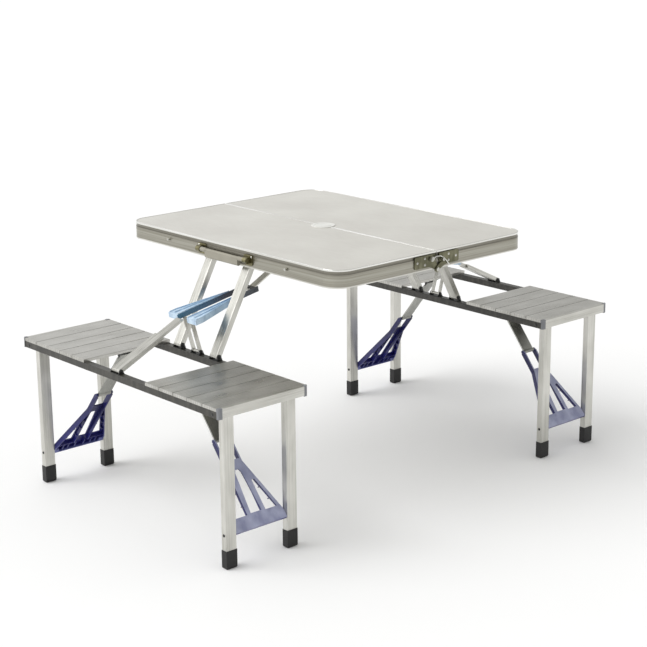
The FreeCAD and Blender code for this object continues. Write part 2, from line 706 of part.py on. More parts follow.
def clevis(x, y, z, half_gap, pin_r):
    """Stamped bracket on a rail: flat foot and two round-topped ears."""
    w = half_gap + EAR_T
    r = 5.5
    long = 9.0
    foot = box(x - w, x + w, y - long, y + long, RAIL_TOP, RAIL_TOP + 1.0)
    parts = [foot]
    for s in (-1, 1):
        x0 = x + s * half_gap
        lo = min(x0, x0 + s * EAR_T)
        ear = prism([(-long, RAIL_TOP), (long, RAIL_TOP), (r, z), (-r, z)], 0, EAR_T)
        parts.append(place(ear, (lo, y, 0), (0, 1, 0), (0, 0, 1)))
        parts.append(rod_x(lo, lo + EAR_T, y, z, r))
    return join(parts).cut(rod_x(x - w - 1, x + w + 1, y, z, pin_r))


def strut_bracket(s):
    """Small U across two ribs of the innermost slat that takes the upper strut pin."""
    half = STRUT_W / 2 - 2.5
    x = s * STRUT_PIN_X
    r = STRUT_EAR_R
    back = box(SEAT_IN, SEAT_IN + SLAT_PITCH / 2 + SLAT_WALL, LEG_MID - half - EAR_T,
               LEG_MID + half + EAR_T, SLAT_BOTTOM - STRUT_PLATE_T, SLAT_BOTTOM)
    parts = [back if s > 0 else flip_x(back)]
    for t in (-1, 1):
        y0 = LEG_MID + t * half
        lo = min(y0, y0 + t * EAR_T)
        ear = prism([(-8, SLAT_BOTTOM - 1), (-r, LEG_Z), (r, LEG_Z), (8, SLAT_BOTTOM - 1)], 0, EAR_T)
        parts.append(place(ear, (x, lo + EAR_T, 0), (1, 0, 0), (0, 0, 1)))
        parts.append(rod_y(lo, lo + EAR_T, x, LEG_Z, r))
    return join(parts).cut(rod_y(LEG_MID - 40, LEG_MID + 40, x, LEG_Z, STRUT_PIN_R - 0.5))


def bench_brackets():
    out = []
    for s in (-1, 1):
        out.append(clevis(s * SWING_X, SWING_FOOT[0], SWING_FOOT[1], CLEVIS_W, PIVOT_PIN_R))
    out.append(clevis(0, OUT_MID, RAIL_TOP + STAY_UP, STAY_W, STRUT_PIN_R))
    out.append(clevis(0, IN_MID, RAIL_TOP + STAY_UP, STAY_W, STRUT_PIN_R))
    for s in (-1, 1):
        out.append(strut_bracket(s))
    return out


def bench_pins():
    out = []
    for s in (-1, 1):
        w = CLEVIS_W + EAR_T
        x = s * SWING_X
        y, z = SWING_FOOT
        out.append(headed_pin((x - w, y, z), (1, 0, 0), 2 * w, PIVOT_PIN_R, HEAD_R, HEAD_T))
    for y in (OUT_MID, IN_MID):
        w = STAY_W + EAR_T
        z = RAIL_TOP + STAY_UP
        out.append(headed_pin((-w, y, z), (1, 0, 0), 2 * w, STRUT_PIN_R, STAY_HEAD_R, HEAD_T))
    for s in (-1, 1):
        half = STRUT_W / 2 - 2.5 + EAR_T
        out.append(rod_y(LEG_MID - half, LEG_MID + half, s * STRUT_PIN_X, LEG_Z, STRUT_PIN_R - 0.5))
        out.append(headed_pin((s * LEG_X, OUT_RAIL[0], LEG_Z), (0, 1, 0), IN_RAIL[1] - OUT_RAIL[0],
                              ROD_R, HEAD_R, HEAD_T))
    return out


# ---- legs ------------------------------------------------------------------
def legs():
    """The two legs at the right end with their brace pins."""
    out = []
    for y0, y1 in (OUT_LEG, IN_LEG):
        x0 = LEG_X - LEG_T / 2
        x1 = LEG_X + LEG_T / 2
        tube = box(x0, x1, y0, y1, FOOT_FLOOR, LEG_Z)
        tube = join([tube, rod_y(y0, y1, LEG_X, LEG_Z, LEG_T / 2)])
        bore = box(x0 + LEG_WALL, x1 - LEG_WALL, y0 + LEG_WALL, y1 - LEG_WALL,
                   FOOT_FLOOR - 1, LEG_Z - LEG_T / 2)
        tube = tube.cut(bore).cut(rod_y(y0 - 1, y1 + 1, LEG_X, LEG_Z, ROD_R + PIN_FIT))
        inner_face = y1 if y0 == OUT_LEG[0] else y0
        t = 1 if y0 == OUT_LEG[0] else -1
        a = inner_face - t * LEG_WALL
        b = inner_face + t * (BRACE_GAP + 10)
        tube = tube.cut(rod_y(min(a, inner_face) - 1, max(a, inner_face) + 1, LEG_X, BRACE_PIN_H,
                              ROD_R))
        head_y = a - t * 1.5
        pin = rod_y(min(a, b), max(a, b), LEG_X, BRACE_PIN_H, ROD_R)
        head = rod_y(min(a, head_y), max(a, head_y), LEG_X, BRACE_PIN_H, ROD_R + 1.5)
        out.append(tube)
        out.append(join([pin, head]))
    return out


def feet():
    out = []
    for y0, y1 in (OUT_LEG, IN_LEG):
        x0 = LEG_X - LEG_T / 2
        x1 = LEG_X + LEG_T / 2
        cap = box(x0 - FOOT_WALL, x1 + FOOT_WALL, y0 - FOOT_WALL, y1 + FOOT_WALL, 0, FOOT_H)
        cap = cap.makeFillet(FOOT_ROUND, [e for e in cap.Edges if e.BoundBox.ZMax < 0.01])
        out.append(cap.cut(box(x0, x1, y0, y1, FOOT_FLOOR, FOOT_H + 1)))
    return out


# ---- leg brace and strut ---------------------------------------------------
FOLD_GAP = abs((LEG_X - (LEG_Z - BRACE_PIN_H)) - STRUT_PIN_X)
BRACE_SPAN = math.hypot(LEG_X - STRUT_PIN_X, LEG_Z - BRACE_PIN_H)
BRACE_L = (BRACE_SPAN + FOLD_GAP) / 2
STRUT_L = (BRACE_SPAN - FOLD_GAP) / 2
BRACE_DIR = (STRUT_PIN_X - LEG_X, 0, LEG_Z - BRACE_PIN_H)


def ribbed(outline, skin0, skin1, rib0, rib1):
    """Skin over the outline with a border rib standing from rib0 to rib1."""
    skin = prism(outline, skin0, skin1)
    rim = prism(outline, rib0, rib1).cut(prism(inset(outline, BRACE_RIB), rib0 - 1, rib1 + 1))
    return skin, rim


def leg_brace():
    """Moulded brace: a wide foot between the legs that narrows to a neck."""
    w = BRACE_W / 2
    n = BRACE_NECK_W / 2
    h = BRACE_T / 2
    end = BRACE_L - BRACE_STOP
    outline = [(-BRACE_HEEL, -w), (BRACE_FOOT_S, -w), (BRACE_NECK_S, -n), (end, -n),
               (end, n), (BRACE_NECK_S, n), (BRACE_FOOT_S, w), (-BRACE_HEEL, w)]
    skin, rim = ribbed(outline, -h, -h + BRACE_SKIN, -h, h)
    corridor = STRUT_W / 2 + 1.5
    grow = (w - n) / (BRACE_NECK_S - BRACE_FOOT_S)

    def half_at(s):
        return w if s < BRACE_FOOT_S else max(n, w - grow * (s - BRACE_FOOT_S))

    parts = [skin, rim]
    for t in (-1, 1):
        y0 = t * corridor
        y1 = t * (corridor + BRACE_RIB)
        parts.append(box(BRACE_RIBS[0], end, min(y0, y1), max(y0, y1), -h, h))
        for s in BRACE_RIBS:
            a = corridor + 1
            b = half_at(s + BRACE_CROSS_T) - 0.5
            lo, hi = sorted((t * a, t * b))
            parts.append(box(s, s + BRACE_CROSS_T, lo, hi, -h, h - BRACE_CROSS_T))
    fin = BRACE_CROSS_T / 2
    for y in BRACE_FINS:
        parts.append(box(0.0, BRACE_RIBS[0] + 1, y - fin, y + fin, -h, h - BRACE_CROSS_T))
    parts.append(box(BRACE_RIBS[0], BRACE_RIBS[0] + BRACE_RIB, -corridor, corridor,
                     -h, -h + BRACE_SKIN + 0.5))
    for t in (-1, 1):
        lo = min(t * w, t * (w - BRACE_BARREL_L))
        parts.append(Part.makeCylinder(h, BRACE_BARREL_L, V(0, lo, 0), V(0, 1, 0)))
        lo = min(t * n, t * (n - BRACE_CHEEK))
        parts.append(Part.makeCylinder(BRACE_EYE_R, BRACE_CHEEK, V(BRACE_L, lo, 0), V(0, 1, 0)))
    body = join(parts)
    slot = box(BRACE_SLOT_S, BRACE_L + h, -corridor, corridor, -h - 1, h + 1)
    body = body.cut(slot)
    mid = [(s, -y) for s, y in BRACE_MID] + [(s, y) for s, y in reversed(BRACE_MID)]
    body = body.cut(prism(mid, -h - 1, h + 1))
    for t in (-1, 1):
        s0, s1 = BRACE_WIN
        top = half_at(s1 + 2) - 8
        base = half_at(s0) - 10
        win = [(s0, corridor + 7), (s1, corridor + 6), (s1, top), (s0, base)]
        win = [(s, t * y) for s, y in win]
        if t < 0:
            win = list(reversed(win))
        body = body.cut(prism(win, -h - 1, h + 1))
    for t in (-1, 1):
        lo = min(t * (w + 1), t * (w - BRACE_GAP - BRACE_ROD_IN))
        body = body.cut(Part.makeCylinder(ROD_R + PIN_FIT, BRACE_ROD_IN + BRACE_GAP + 1,
                                          V(0, lo, 0), V(0, 1, 0)))
    rivets = []
    for t in (-1, 1):
        rivets.append(dome((BRACE_L, t * n, 0), (0, t, 0), BRACE_HEAD_R, SMALL_HEAD_T))
    body = join([body] + rivets)
    return place(body, (LEG_X, LEG_MID, BRACE_PIN_H), BRACE_DIR, (0, 1, 0))


def leg_strut():
    """Flat bar from the brace's neck to the bracket under the seat."""
    half = STRUT_W / 2
    bar = box(0, STRUT_L, -half, half, -STRUT_T / 2, STRUT_T / 2)
    low = Part.makeCylinder(KNUCKLE_R, 2 * half, V(0, -half, 0), V(0, 1, 0))
    eye_half = half - STRUT_EYE_IN
    high = Part.makeCylinder(STRUT_EYE_R, 2 * eye_half, V(STRUT_L, -eye_half, 0), V(0, 1, 0))
    body = join([bar, low, high])
    for t in (-1, 1):
        lo = min(t * eye_half, t * (half + 1))
        body = body.cut(box(STRUT_L - STRUT_EYE_L, STRUT_L + STRUT_EYE_L, lo,
                            lo + half + 1 - eye_half, -STRUT_EYE_L, STRUT_EYE_L))
    for s, r in ((STRUT_L, STRUT_PIN_R - 0.5 + PIN_FIT), (0, STRUT_PIN_R)):
        body = body.cut(Part.makeCylinder(r, 2 * half + 4, V(s, -half - 2, 0), V(0, 1, 0)))
    pin = Part.makeCylinder(STRUT_PIN_R, 2 * half, V(0, -half, 0), V(0, 1, 0))
    u = V(*BRACE_DIR).normalize()
    o = V(LEG_X, LEG_MID, BRACE_PIN_H) + u * BRACE_L
    return [place(s, (o.x, o.y, o.z), BRACE_DIR, (0, 1, 0)) for s in (body, pin)]


# ---- bench swing tubes and centre stay -------------------------------------
def link_tube(x, a, b, w, t, wall, end_r, pin_a, pin_b):
    """Rectangular tube between two pivots (y, z), with rounded ends."""
    length = math.hypot(b[0] - a[0], b[1] - a[1])
    tube = box(0, length, -w / 2, w / 2, -t / 2, t / 2)
    edge = [e for e in tube.Edges if e.BoundBox.XLength > length / 2]
    tube = tube.makeFillet(1.5, edge)
    tube = tube.cut(box(10, length - 10, -w / 2 + wall, w / 2 - wall, -t / 2 + wall, t / 2 - wall))
    parts = [tube]
    for s in (0, length):
        parts.append(Part.makeCylinder(end_r, w, V(s, -w / 2, 0), V(0, 1, 0)))
    body = join(parts)
    for s, r in ((0, pin_a), (length, pin_b)):
        body = body.cut(Part.makeCylinder(r, w + 4, V(s, -w / 2 - 2, 0), V(0, 1, 0)))
    return place(body, (x, a[0], a[1]), (0, b[0] - a[0], b[1] - a[1]), (-1, 0, 0))


def swing_tubes():
    r = PIVOT_PIN_R + PIN_FIT
    return [link_tube(s * SWING_X, SWING_FOOT, SWING_TOP, SWING_W, SWING_T, SWING_WALL,
                      SWING_END_R, r, r) for s in (-1, 1)]


def rising(deg):
    a = math.radians(deg)
    return (0, math.cos(a), math.sin(a))


def stay_tube():
    r = STRUT_PIN_R + PIN_FIT
    w = STAY_TUBE_W
    t = STAY_TUBE_T
    tube = box(0, STAY_TUBE_BODY, -w / 2, w / 2, -t / 2, t / 2)
    tube = tube.cut(box(12, STAY_TUBE_BODY - 3, -w / 2 + SWING_WALL, w / 2 - SWING_WALL,
                        -t / 2 + SWING_WALL, t / 2 - SWING_WALL))
    eye = Part.makeCylinder(t / 2, w, V(0, -w / 2, 0), V(0, 1, 0))
    tongue = box(STAY_TUBE_BODY - 4, STAY_TUBE_L, -STAY_TONGUE_W / 2, STAY_TONGUE_W / 2,
                 -STAY_TONGUE_T / 2, STAY_TONGUE_T / 2)
    tip = Part.makeCylinder(STAY_TONGUE_T / 2, STAY_TONGUE_W,
                            V(STAY_TUBE_L, -STAY_TONGUE_W / 2, 0), V(0, 1, 0))
    body = join([tube, eye, tongue, tip])
    body = body.cut(Part.makeCylinder(r, w + 4, V(0, -w / 2 - 2, 0), V(0, 1, 0)))
    return place(body, (0, OUT_MID, RAIL_TOP + STAY_UP), rising(STAY_TUBE_RISE), (-1, 0, 0))


def stay_fork():
    r = STRUT_PIN_R + PIN_FIT
    w = STAY_TUBE_W / 2
    t = FORK_T
    parts = [Part.makeCylinder(FORK_ROOT_R, 2 * w, V(0, -w, 0), V(0, 1, 0))]
    for s in (-1, 1):
        lo = min(s * w, s * (w - FORK_STRAP))
        parts.append(box(0, FORK_L, lo, lo + FORK_STRAP, -t / 2, t / 2))
        parts.append(Part.makeCylinder(t / 2, FORK_STRAP, V(0, lo, 0), V(0, 1, 0)))
        parts.append(Part.makeCylinder(t / 2, FORK_STRAP, V(FORK_L, lo, 0), V(0, 1, 0)))
    body = join(parts)
    body = body.cut(Part.makeCylinder(r, 2 * w + 4, V(0, -w - 2, 0), V(0, 1, 0)))
    return place(body, (0, IN_MID, RAIL_TOP + STAY_UP), rising(FORK_RISE), (-1, 0, 0))


CS_L = math.hypot(ELBOW[0] - BRACE_LOW[0], ELBOW[1] - BRACE_LOW[1])
CS_DIR = (0, BRACE_LOW[0] - ELBOW[0], BRACE_LOW[1] - ELBOW[1])


def centre_brace():
    """Moulded brace in two limbs with an open slot between them."""
    slot = CS_SLOT / 2
    neck = CS_WIDTH_NECK / 2
    wide = CS_WIDTH_LOW / 2
    end = CS_L + CS_END
    parts = []
    slope = (wide - neck) / (CS_WIDE_S - CS_NECK_S)
    start = CS_POCKET_S

    def edge_at(s):
        return neck + slope * (s - CS_NECK_S)

    for t in (-1, 1):
        limb = [(-CS_HEAD, slot), (end, slot), (end, wide), (CS_WIDE_S, wide),
                (CS_NECK_S, neck), (-CS_HEAD, neck)]
        pocket = [(start, slot + BRACE_RIB), (end - BRACE_RIB, slot + BRACE_RIB),
                  (end - BRACE_RIB, wide - BRACE_RIB), (CS_WIDE_S, wide - BRACE_RIB),
                  (start, edge_at(start) - BRACE_RIB)]
        if t < 0:
            limb = [(s, -y) for s, y in reversed(limb)]
            pocket = [(s, -y) for s, y in reversed(pocket)]
        parts.append(prism(limb, -CS_TOP, CS_BOTTOM).cut(
            prism(pocket, -CS_TOP + CS_SKIN, CS_BOTTOM + 1)))
        for s in CS_RIBS:
            lo, hi = sorted((t * (slot + 1), t * (edge_at(s) - 1)))
            parts.append(box(s, s + CS_RIB_T, lo, hi, -CS_TOP, CS_BOTTOM - 1))
    parts.append(box(CS_BRIDGE[0], CS_BRIDGE[1], -slot - 1, slot + 1, -CS_TOP, -CS_TOP + CS_SKIN))
    body = join(parts)
    hole = Part.makeCylinder(CS_PIN_R, 2 * neck + 4, V(0, -neck - 2, 0), V(0, 1, 0))
    body = body.cut(hole)
    pin = Part.makeCylinder(CS_PIN_R, 2 * neck, V(0, -neck, 0), V(0, 1, 0))
    heads = [dome((0, t * neck, 0), (0, t, 0), SMALL_HEAD_R, SMALL_HEAD_T) for t in (-1, 1)]
    pin = join([pin] + heads)
    o = (0, ELBOW[0], ELBOW[1])
    return [place(s, o, CS_DIR, (-1, 0, 0)) for s in (body, pin)]


def centre_strut():
    half = CS_STRUT_W / 2
    length = math.hypot(ANCHOR[0] - ELBOW[0], ANCHOR[1] - ELBOW[1])
    bar = box(0, length, -half, half, -CS_STRUT_T / 2, CS_STRUT_T / 2)
    parts = [bar]
    for s in (0, length):
        parts.append(Part.makeCylinder(CS_KNUCKLE_R, 2 * half, V(s, -half, 0), V(0, 1, 0)))
    body = join(parts)
    for s in (0, length):
        body = body.cut(Part.makeCylinder(CS_PIN_R + PIN_FIT, 2 * half + 4, V(s, -half - 2, 0),
                                          V(0, 1, 0)))
    return place(body, (0, ELBOW[0], ELBOW[1]),
                 (0, ANCHOR[0] - ELBOW[0], ANCHOR[1] - ELBOW[1]), (-1, 0, 0))


# ---- build -----------------------------------------------------------------
def both_ends(shapes):
    return shapes + [flip_x(s) for s in shapes]


panel = top_panel()
frame = edge_frame()
plug = plug_half()
save("front_top_panel", panel)
save("rear_top_panel", flip_y(panel))
save("front_edge_frame", frame)
save("rear_edge_frame", flip_y(frame))
save("front_umbrella_plug", plug)
save("rear_umbrella_plug", flip_y(plug))
save("front_hinge_plates", both_ends([front_plate()]))
save("rear_hinge_plates", both_ends([rear_plate()]))
hook = lock_hook()
save("right_lock_hook", hook)
save("left_lock_hook", flip_x(hook))
save("front_rivets", both_ends(plate_rivets(-1) + [pivot_stud()]) + front_wall_rivets())
save("rear_rivets", both_ends(plate_rivets(1) + [catch_stud()]))
save("carry_handle", carry_handle())
save("handle_brackets", both_ends([handle_bracket()]))

brackets = table_brackets()
pins = table_pins()
save("front_table_brackets", brackets)
save("rear_table_brackets", [flip_y(s) for s in brackets])
save("front_table_pins", pins + both_ends([hinge_pin()]))
save("rear_table_pins", [flip_y(s) for s in pins])

leg_set = legs()
foot_set = feet()
brace = [leg_brace()]
strut = leg_strut()
bench_nodes = {
    "bench_rails": bench_rails(),
    "seat_slats": seat_slats(),
    "seat_ends": seat_ends(),
    "seat_corner_caps": corner_caps(),
    "bench_brackets": bench_brackets(),
    "bench_pins": bench_pins(),
    "swing_tubes": swing_tubes(),
    "stay_tube": [stay_tube()],
    "stay_fork": [stay_fork()],
    "centre_brace": centre_brace(),
    "centre_strut": [centre_strut()],
    "right_legs": leg_set,
    "right_feet": foot_set,
    "right_leg_brace": brace,
    "right_leg_strut": strut,
    "left_legs": [flip_x(s) for s in leg_set],
    "left_feet": [flip_x(s) for s in foot_set],
    "left_leg_brace": [flip_x(s) for s in brace],
    "left_leg_strut": [flip_x(s) for s in strut],
}
for node, shapes in bench_nodes.items():
    save("front_" + node, shapes)
    save("rear_" + node, [flip_y(s) for s in shapes])
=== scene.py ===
import bmesh
import bpy
import json
import math
from mathutils import Matrix, Vector


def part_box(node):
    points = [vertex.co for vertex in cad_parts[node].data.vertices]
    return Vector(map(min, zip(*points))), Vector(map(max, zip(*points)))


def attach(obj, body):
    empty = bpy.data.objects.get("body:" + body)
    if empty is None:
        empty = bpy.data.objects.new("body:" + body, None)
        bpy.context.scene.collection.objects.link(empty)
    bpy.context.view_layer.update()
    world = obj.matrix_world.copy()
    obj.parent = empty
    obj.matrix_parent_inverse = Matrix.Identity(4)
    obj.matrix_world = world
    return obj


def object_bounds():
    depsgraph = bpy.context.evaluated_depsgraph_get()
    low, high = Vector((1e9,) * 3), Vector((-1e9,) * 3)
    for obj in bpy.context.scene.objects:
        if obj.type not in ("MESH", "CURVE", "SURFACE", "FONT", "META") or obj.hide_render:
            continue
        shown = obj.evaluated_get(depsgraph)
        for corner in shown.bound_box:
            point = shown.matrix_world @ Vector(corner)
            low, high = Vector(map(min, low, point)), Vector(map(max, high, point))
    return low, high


# Folding picnic table in aluminium and moulded plastic: a two-part case top,
# a bench on each long side, folding legs with blue braces, and centre stays.
# Metres, +Z up, X along the seam between the halves, -Y the handle side.

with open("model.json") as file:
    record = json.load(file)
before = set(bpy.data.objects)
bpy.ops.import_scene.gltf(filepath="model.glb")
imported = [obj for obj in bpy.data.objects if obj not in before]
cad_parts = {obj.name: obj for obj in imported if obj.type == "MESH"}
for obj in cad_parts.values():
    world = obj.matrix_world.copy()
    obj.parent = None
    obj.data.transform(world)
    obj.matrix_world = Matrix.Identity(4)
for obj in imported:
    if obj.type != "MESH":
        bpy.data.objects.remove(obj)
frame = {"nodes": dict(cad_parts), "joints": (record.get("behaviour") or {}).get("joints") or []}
CAD_LOW, CAD_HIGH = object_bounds()
MM = 0.001
SIDES = ("front", "rear")
ENDS = ("right", "left")
JOINT_AT = {j["name"]: Vector(j["pos_m"]) for j in frame["joints"]}

# Real die lines lie 0.1 to 0.3 mm apart, moulded grain and grit measure a few
# tenths of a millimetre and the film's dimples 0.5 mm. All are drawn coarser,
# so that they show.
DIE_LINE = 1.5 * MM
WIDE_DIE_LINE = 1.6 * MM
NARROW_DIE_LINE = 1.2 * MM
MOULD_GRAIN = 2 * MM
GRIT = 1.2 * MM
DIMPLE = 3 * MM
# How deep their relief is.
DIMPLE_DEPTH = 0.02 * MM
GRIT_DEPTH = 0.05 * MM
FAINT_RELIEF = 0.03 * MM
# Fine grooves along the slats.
GROOVE_PITCH = 8.7 * MM
GROOVE_WIDTH = 0.7 * MM
GROOVE_DEPTH = 0.15 * MM
# How far past the side of a centre brace's slot its painted shade reaches.
SLOT_SHADE_REACH = 0.5 * MM
# Nearly all of a noise pattern lies between these two values.
NOISE_LOW, NOISE_HIGH = 0.3, 0.7
PLASTIC_IOR = 1.5
UPRIGHT = (0, 0, 1)
QUARTER_TURN = math.pi / 2


# ---- nodes and colours -----------------------------------------------------
def linear(code):
    """A colour given as an sRGB hex code, in linear light."""
    out = []
    for i in (1, 3, 5):
        c = int(code[i:i + 2], 16) / 255
        out.append(c / 12.92 if c <= 0.04045 else ((c + 0.055) / 1.055) ** 2.4)
    return (*out, 1.0)


def add(tree, kind, sockets=None, out=0, to=None, stops=(), **settings):
    """Adds one node and gives back one of its outputs.

    A socket takes a value or another node's output. The (position, hex) stops
    fill a colour ramp, and the output feeds the socket named by to.
    """
    made = tree.nodes.new("ShaderNode" + kind)
    for key, value in settings.items():
        setattr(made, key, value)
    for key, value in (sockets or {}).items():
        if isinstance(value, bpy.types.NodeSocket):
            tree.links.new(value, made.inputs[key])
        else:
            made.inputs[key].default_value = value
    if stops:
        knots = made.color_ramp.elements
        while len(knots) < len(stops):
            knots.new(0.5)
        for knot, (place, code) in zip(knots, stops):
            knot.position = place
            knot.color = linear(code)
    if to is not None:
        tree.links.new(made.outputs[out], to)
    return made.outputs[out]


def start(name, **sockets):
    """A new material with its shader; keyword names are the shader's sockets."""
    made = bpy.data.materials.new(name)
    made.use_nodes = True
    tree = made.node_tree
    shader = tree.nodes["Principled BSDF"]
    for key, value in sockets.items():
        shader.inputs[key.replace("_", " ")].default_value = value
    return made, tree, shader


def grain(tree, wide, long, detail, tilt=0.0, turn=0.0):
    """Uneven light and dark on the piece, in patches of that width and length in metres.

    The patches lie along Z, or where tilt about X and turn about Y bring it.
    """
    here = add(tree, "TexCoord", out="Object")
    space = add(tree, "Mapping", {"Vector": here, "Rotation": (tilt, turn, 0),
                                  "Scale": (wide, wide, long)}, vector_type="TEXTURE")
    return add(tree, "TexNoise", {"Vector": space, "Scale": 1.0, "Detail": detail})


def share_of_way(tree, foot, direction, length):
    """0 at the foot point and 1 that length further on in the direction, at rest."""
    way = Vector(direction).normalized()
    begin = Vector(foot).dot(way)
    here = add(tree, "TexCoord", out="Object")
    reach = add(tree, "VectorMath", {0: here, 1: tuple(way)}, out="Value",
                operation="DOT_PRODUCT")
    return add(tree, "MapRange", {"Value": reach, "From Min": begin, "From Max": begin + length})


def fine_grooves(tree, direction, pitch, width):
    """1 on grooves of that width and pitch across the direction, 0 between them."""
    here = add(tree, "TexCoord", out="Object")
    reach = add(tree, "VectorMath", {0: here, 1: direction}, out="Value",
                operation="DOT_PRODUCT")
    steps = add(tree, "Math", {0: reach, 1: pitch}, operation="DIVIDE")
    part = add(tree, "Math", {0: steps}, operation="FRACT")
    return add(tree, "Math", {0: part, 1: width / pitch}, operation="LESS_THAN")


def surface(tree, shader, sheen, smooth, rough, relief, depth, strength):
    """Roughness from smooth to rough by the sheen pattern, and relief of that depth in metres."""
    add(tree, "MapRange", {"Value": sheen, "From Min": NOISE_LOW, "From Max": NOISE_HIGH,
                           "To Min": smooth, "To Max": rough}, to=shader.inputs["Roughness"])
    add(tree, "Bump", {"Height": relief, "Distance": depth, "Strength": strength},
        to=shader.inputs["Normal"])


# ---- materials -------------------------------------------------------------
def film_faced_board():
    """Printed film on hardboard, satin: even warm grey with an orange-peel skin."""
    made, tree, shader = start("film_faced_board", IOR=PLASTIC_IOR, Coat_Weight=0.4,
                               Coat_Roughness=0.12)
    cloud = grain(tree, 0.16, 0.16, 2.0)
    add(tree, "ValToRGB", {"Fac": cloud}, to=shader.inputs["Base Color"],
        stops=[(0.3, "#BCB9B1"), (0.7, "#C8C6BE")])
    wiped = grain(tree, 0.01, 0.09, 3.0, turn=math.radians(70))
    peel = grain(tree, DIMPLE, DIMPLE, 1.0)
    surface(tree, shader, wiped, 0.28, 0.36, peel, DIMPLE_DEPTH, 0.5)
    return made


def drawn_aluminium(name, wide, long, dark, light, tilt=0.0, turn=0.0):
    """Extruded aluminium with a clear anodised skin: die lines run along the section."""
    made, tree, shader = start(name, Metallic=1.0)
    lines = grain(tree, wide, long, 3.0, tilt, turn)
    cloud = grain(tree, 0.05, 0.12, 2.0, tilt, turn)
    both = add(tree, "Math", {0: lines, 1: cloud}, operation="ADD")
    half = add(tree, "Math", {0: both, 1: 0.5}, operation="MULTIPLY")
    add(tree, "ValToRGB", {"Fac": half}, to=shader.inputs["Base Color"],
        stops=[(0.38, dark), (0.62, light)])
    surface(tree, shader, half, 0.25, 0.37, lines, FAINT_RELIEF, 0.5)
    return made


def rim_section(low, high):
    """Rim extrusion: a polished bead on top with a painted highlight, painted shade on the neck
    under it, a brushed wall painted in soft bands of light and shade, and a painted highlight
    along the lower lip."""
    made, tree, shader = start("rim_aluminium", Metallic=1.0)
    rise = share_of_way(tree, (0, 0, low), UPRIGHT, high - low)
    lines = grain(tree, 0.25, WIDE_DIE_LINE, 3.0)
    # Bands of colour up the rim: a painted highlight on the lower lip, the wall in painted light
    # and shade, painted shade on the neck and a painted highlight on the bead.
    wall = add(tree, "ValToRGB", {"Fac": rise}, stops=[
        (0.0, "#E2E1DC"), (0.05, "#E2E1DC"), (0.08, "#A5A298"), (0.45, "#B3B1A7"),
        (0.66, "#A5A298"), (0.72, "#86837A"), (0.885, "#98958C"), (0.895, "#F1F1EE"),
        (1.0, "#F7F7F5")])
    shade = add(tree, "ValToRGB", {"Fac": lines}, stops=[(0.3, "#D6D5D0"), (0.7, "#FFFFFF")])
    add(tree, "Mix", {0: 1.0, 6: wall, 7: shade}, out=2, to=shader.inputs["Base Color"],
        data_type="RGBA", blend_type="MULTIPLY")
    add(tree, "MapRange", {"Value": rise, "From Min": 0.87, "From Max": 0.9,
                           "To Min": 0.36, "To Max": 0.16}, to=shader.inputs["Roughness"])
    add(tree, "Bump", {"Height": lines, "Distance": FAINT_RELIEF, "Strength": 0.4},
        to=shader.inputs["Normal"])
    return made


def seat_slat():
    """Extruded seat slat: dull, handled metal with fine grooves along it, painted darker as
    painted shade in them, and a blotchy sheen.
    """
    made, tree, shader = start("slat_aluminium", Metallic=1.0)
    die = grain(tree, WIDE_DIE_LINE, 0.2, 3.0, tilt=QUARTER_TURN)
    hands = grain(tree, 0.035, 0.09, 4.0, tilt=QUARTER_TURN)
    base = add(tree, "ValToRGB", {"Fac": hands}, stops=[(0.35, "#BAB9B4"), (0.62, "#CDCCC8")])
    streak = add(tree, "ValToRGB", {"Fac": die}, stops=[(0.35, "#EDECE9"), (0.65, "#FFFFFF")])
    metal = add(tree, "Mix", {0: 1.0, 6: base, 7: streak}, out=2, data_type="RGBA",
                blend_type="MULTIPLY")
    # The fine grooves are painted darker: painted shade in them.
    line = fine_grooves(tree, (1, 0, 0), GROOVE_PITCH, GROOVE_WIDTH)
    add(tree, "Mix", {0: line, 6: metal, 7: linear("#8B8A85")}, out=2,
        to=shader.inputs["Base Color"], data_type="RGBA")
    surface(tree, shader, hands, 0.27, 0.36, line, -GROOVE_DEPTH, 0.6)
    return made


def leg_brace_plastic(node, outward):
    """Navy moulding: the outward face painted pale lilac as painted light and reflection, with
    scuffed patches, and a dark ribbed back painted paler at the rib edges as painted highlight
    and darker between the ribs as painted shade.
    """
    made, tree, shader = start(node + "_plastic", IOR=PLASTIC_IOR)
    way = Vector(outward).normalized()
    reach = [v.co.dot(way) for v in frame["nodes"][node].data.vertices]
    back, skin = min(reach), max(reach)
    depth = share_of_way(tree, way * back, way, skin - back)
    flow = grain(tree, 0.03, 0.06, 3.0)
    fine = grain(tree, MOULD_GRAIN, MOULD_GRAIN, 2.0)
    # Ribbed back: a painted highlight on the rib edges and painted shade deeper between the ribs.
    ribbed_back_painted_light = add(tree, "ValToRGB", {"Fac": depth}, stops=[
        (0.0, "#6368A0"), (0.05, "#6368A0"), (0.14, "#23246B"), (0.75, "#15154A"),
        (1.0, "#22235E")])
    painted_lit_face = add(tree, "ValToRGB", {"Fac": flow}, stops=[(0.35, "#8A8EAD"), (0.65, "#ABAFC9")])
    # The side that faces outward is painted pale as painted light; the other sides keep the dark
    # back.
    normal = add(tree, "TexCoord", out="Normal")
    lean = add(tree, "VectorMath", {0: normal, 1: tuple(way)}, out="Value",
               operation="DOT_PRODUCT")
    painted_light_mask = add(tree, "MapRange", {"Value": lean, "From Min": 0.6, "From Max": 0.9})
    add(tree, "Mix", {0: painted_light_mask, 6: ribbed_back_painted_light, 7: painted_lit_face}, out=2,
        to=shader.inputs["Base Color"], data_type="RGBA")
    surface(tree, shader, fine, 0.26, 0.38, fine, FAINT_RELIEF, 0.4)
    return made


